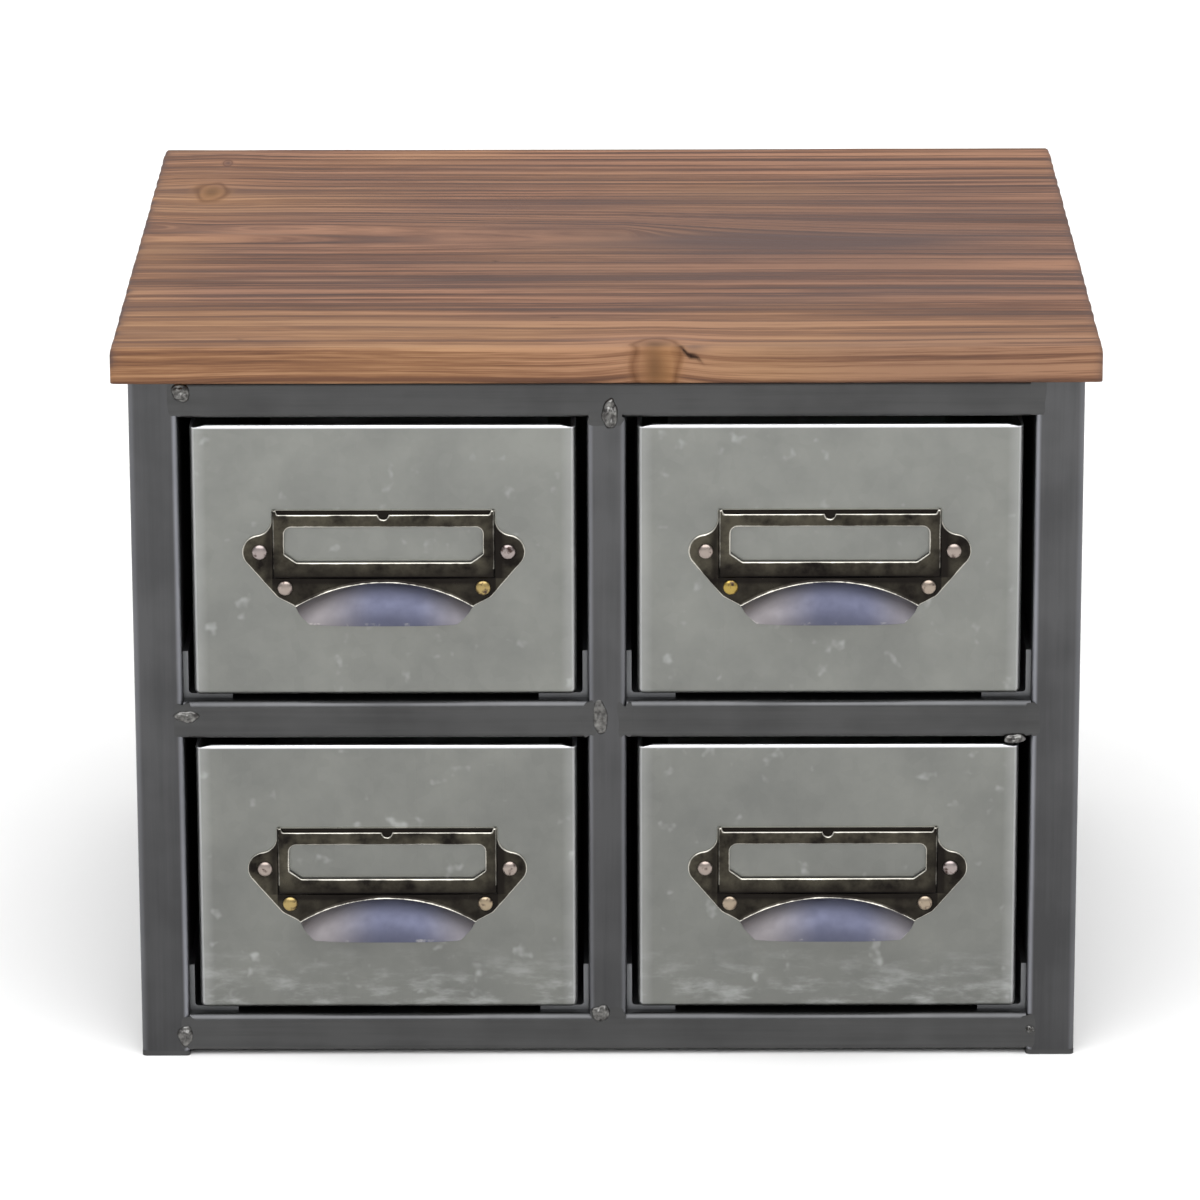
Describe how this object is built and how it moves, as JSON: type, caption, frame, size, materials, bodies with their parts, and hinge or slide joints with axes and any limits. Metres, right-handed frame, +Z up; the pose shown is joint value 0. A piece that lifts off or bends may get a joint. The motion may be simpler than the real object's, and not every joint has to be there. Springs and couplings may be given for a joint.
{
  "type": "small drawer cabinet",
  "caption": "Table-top cabinet with a welded steel frame, wooden top and sliding sheet-metal drawers, each with a card-holder cup pull.",
  "frame": {"origin": "middle of the overall box, pulls included, on the plane that the feet stand on", "axes": "+X to the right seen from the front, -Y towards the front, +Z up"},
  "size_m": [0.4, 0.3666, 0.305],
  "materials": {
    "wood_top": "oiled, satin",
    "frame_steel": "bare dark steel, satin",
    "sheet_steel": "dark steel sheet, satin",
    "galvanised_sheet": "galvanised, dull spangle",
    "bronzed_pull": "antique bronze",
    "rivets": "antique bronze, worn",
    "screws": "zinc plated"
  },
  "bodies": {
    "cabinet": {"back_panel": "sheet_steel", "board_screws": "screws", "front_bottom_rail": "frame_steel", "front_centre_post": "frame_steel", "front_middle_rail_left": "frame_steel", "front_middle_rail_right": "frame_steel", "front_post_left": "frame_steel", "front_post_right": "frame_steel", "front_top_rail": "frame_steel", "post_foot_caps": "frame_steel", "rear_bottom_rail": "frame_steel", "rear_middle_rail": "frame_steel", "rear_post_left": "frame_steel", "rear_post_right": "frame_steel", "rear_top_rail": "frame_steel", "runner_lower_left_inner": "frame_steel", "runner_lower_left_outer": "frame_steel", "runner_lower_right_inner": "frame_steel", "runner_lower_right_outer": "frame_steel", "runner_upper_left_inner": "frame_steel", "runner_upper_left_outer": "frame_steel", "runner_upper_right_inner": "frame_steel", "runner_upper_right_outer": "frame_steel", "side_bottom_rail_left": "frame_steel", "side_bottom_rail_right": "frame_steel", "side_panel_left": "sheet_steel", "side_panel_right": "sheet_steel", "side_top_rail_left": "frame_steel", "side_top_rail_right": "frame_steel", "top_board": "wood_top"},
    "upper_left_drawer": {"drawer_upper_left": "galvanised_sheet", "pull_upper_left": "bronzed_pull", "rivets_upper_left": "rivets"},
    "upper_right_drawer": {"drawer_upper_right": "galvanised_sheet", "pull_upper_right": "bronzed_pull", "rivets_upper_right": "rivets"},
    "lower_left_drawer": {"drawer_lower_left": "galvanised_sheet", "pull_lower_left": "bronzed_pull", "rivets_lower_left": "rivets"},
    "lower_right_drawer": {"drawer_lower_right": "galvanised_sheet", "pull_lower_right": "bronzed_pull", "rivets_lower_right": "rivets"}
  },
  "joints": [
    {"name": "upper_left_slide", "type": "slide", "parent": "cabinet", "child": "upper_left_drawer", "axis": [0, -1, 0], "range_m": [0, 0.26]},
    {"name": "upper_right_slide", "type": "slide", "parent": "cabinet", "child": "upper_right_drawer", "axis": [0, -1, 0], "range_m": [0, 0.26]},
    {"name": "lower_left_slide", "type": "slide", "parent": "cabinet", "child": "lower_left_drawer", "axis": [0, -1, 0], "range_m": [0, 0.26]},
    {"name": "lower_right_slide", "type": "slide", "parent": "cabinet", "child": "lower_right_drawer", "axis": [0, -1, 0], "range_m": [0, 0.26]}
  ]
}
